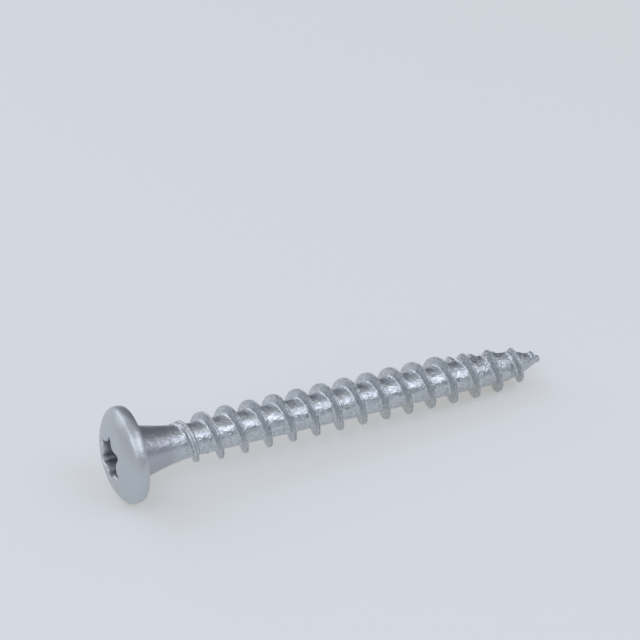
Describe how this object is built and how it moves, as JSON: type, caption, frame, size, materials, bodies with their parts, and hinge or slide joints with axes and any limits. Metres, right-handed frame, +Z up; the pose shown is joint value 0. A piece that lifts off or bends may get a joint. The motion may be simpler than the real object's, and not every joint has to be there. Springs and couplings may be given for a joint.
{
  "type": "anchor screw",
  "caption": "Zinc-plated anchor screw with a low domed head, six-lobe recess, hollow-cone neck, coarse thread and cut point.",
  "frame": {"origin": "on the surface that the screw lies on, under the middle of its bounding box", "axes": "+X along the screw from head to point, level; +Z up. The screw's own axis falls 3.3 degrees toward the point, because it lies on its head's rim and a thread crest"},
  "size_m": [0.0474, 0.0094, 0.0095],
  "materials": {
    "zinc_plated_steel": "satin bright zinc plating"
  },
  "bodies": {
    "root": {"anchor_screw": "zinc_plated_steel"}
  },
  "joints": []
}
